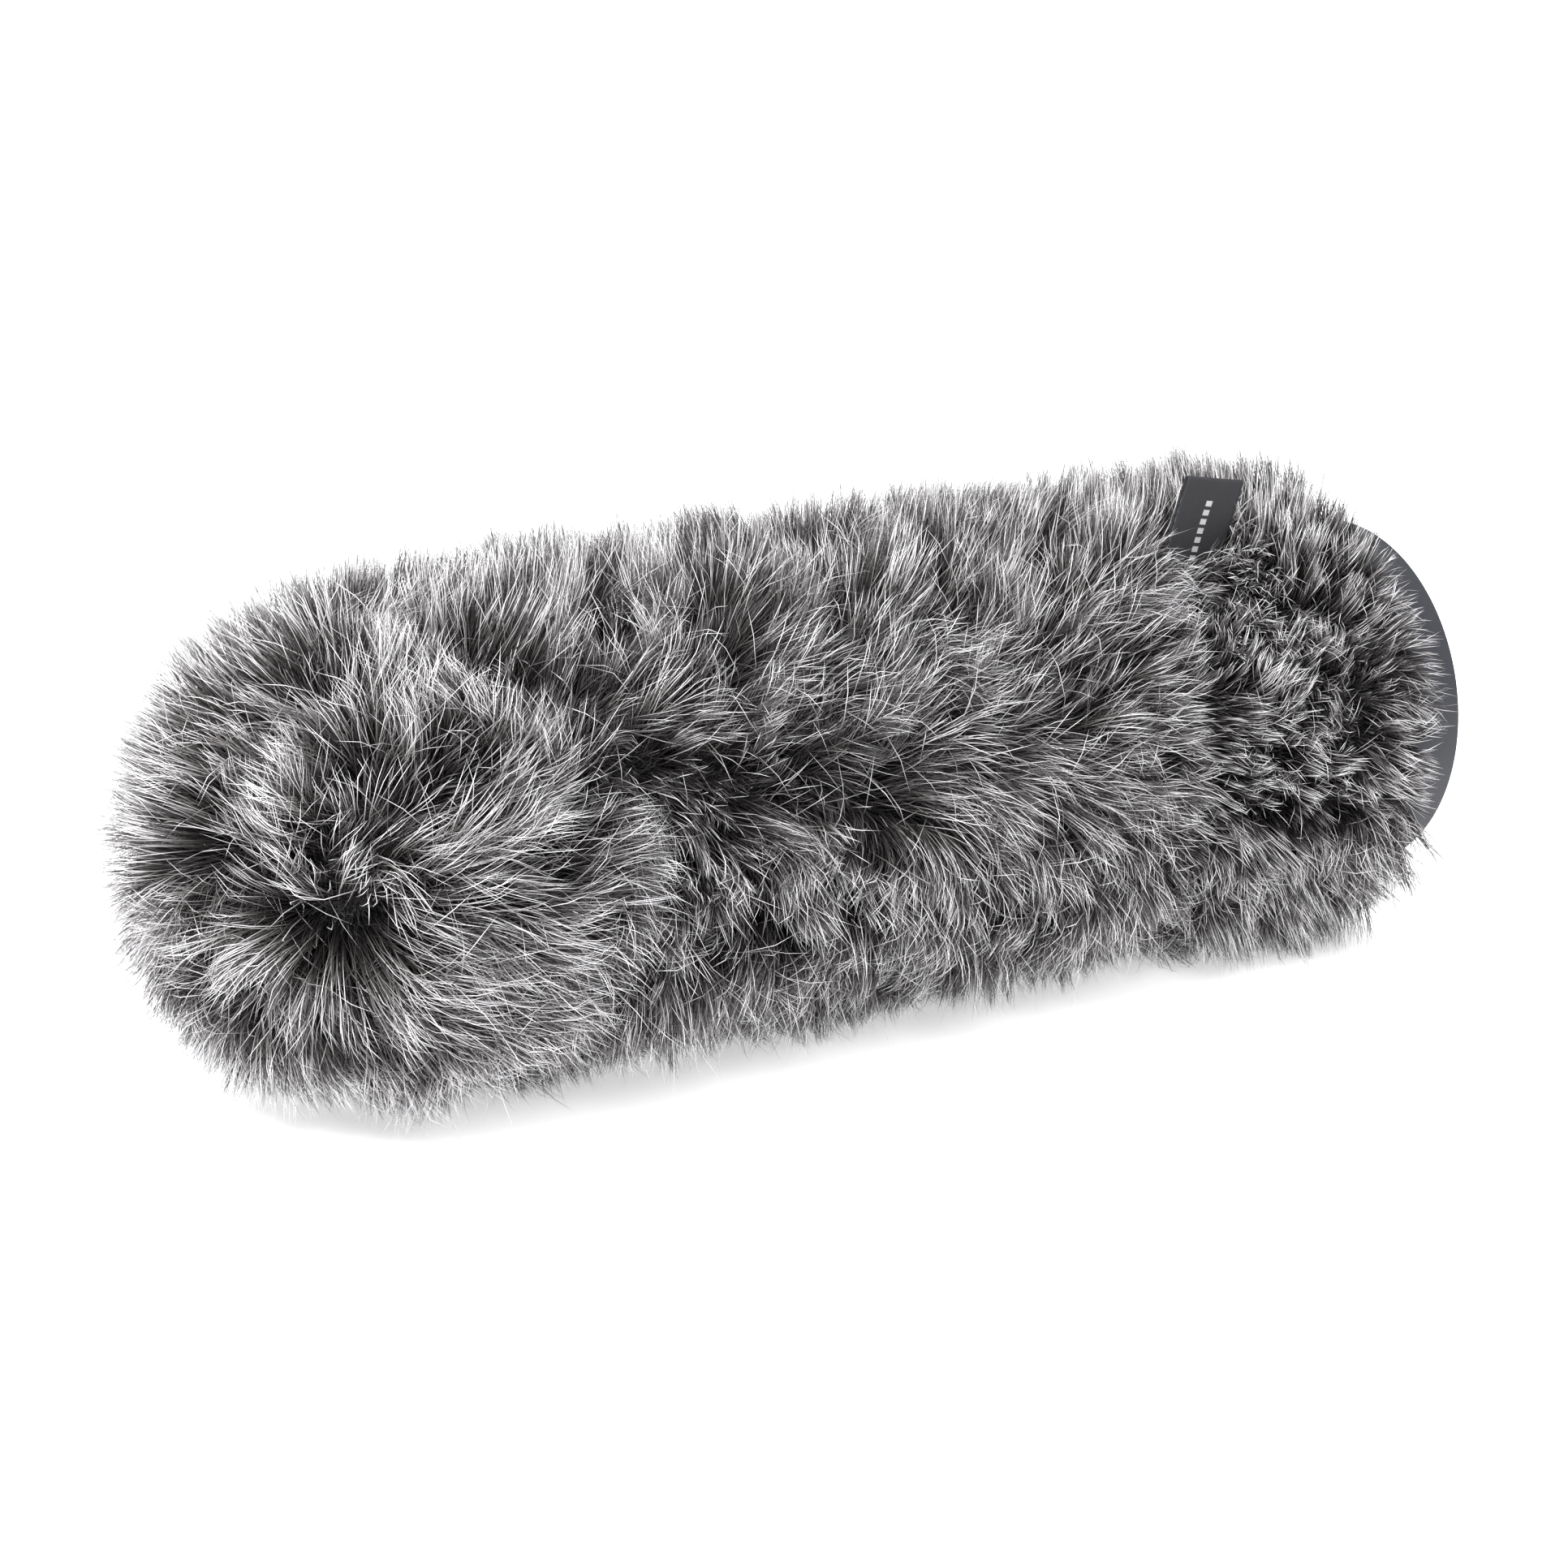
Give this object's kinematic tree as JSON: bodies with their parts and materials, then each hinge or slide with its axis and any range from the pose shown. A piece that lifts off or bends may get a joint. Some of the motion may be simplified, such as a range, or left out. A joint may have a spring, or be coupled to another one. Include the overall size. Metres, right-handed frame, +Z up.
{
  "type": "furry microphone windshield",
  "caption": "Long-pile fur cover over a foam core with a black rear base; slips over a shotgun microphone as a windshield and pulls off forwards.",
  "frame": {"origin": "middle of the footprint of the object lying on its side, on the surface that it rests on", "axes": "+X along the windshield's axis from the domed nose to the base with the microphone bore, +Z up, label on the -Y side of the top"},
  "size_m": [0.278, 0.1032, 0.1061],
  "materials": {
    "fur": "matte",
    "foam": "matte",
    "base_plastic": "matte",
    "grommet_rubber": "matte",
    "seam_tape": "matte",
    "hem_elastic": "matte",
    "label_cloth": "matte"
  },
  "bodies": {
    "core": {"base_cup": "base_plastic", "bore_grommet": "grommet_rubber", "grommet_ring": "base_plastic", "foam_body": "foam", "foam_nose": "foam"},
    "cover": {"fur_nose_cap": "fur", "fur_sleeve": "fur", "fur_rear_band": "fur", "nose_seam_tape": "seam_tape", "band_seam_tape": "seam_tape", "sleeve_seam_tape": "seam_tape", "rear_seam_tape": "seam_tape", "hem_binding": "seam_tape", "hem_elastic": "hem_elastic"},
    "label": {"label_tab": "label_cloth"}
  },
  "joints": [
    {"name": "cover_slide", "type": "slide", "parent": "core", "child": "cover", "axis": [-1, 0, 0], "range_m": [0, 0.25]},
    {"name": "label_bend", "type": "hinge", "parent": "cover", "child": "label", "pos_m": [0.0814, -0.01657, 0.08533], "axis": [1, 0, 0], "range_deg": [-20, 20], "stiffness_Nm_per_rad": 0.006}
  ]
}
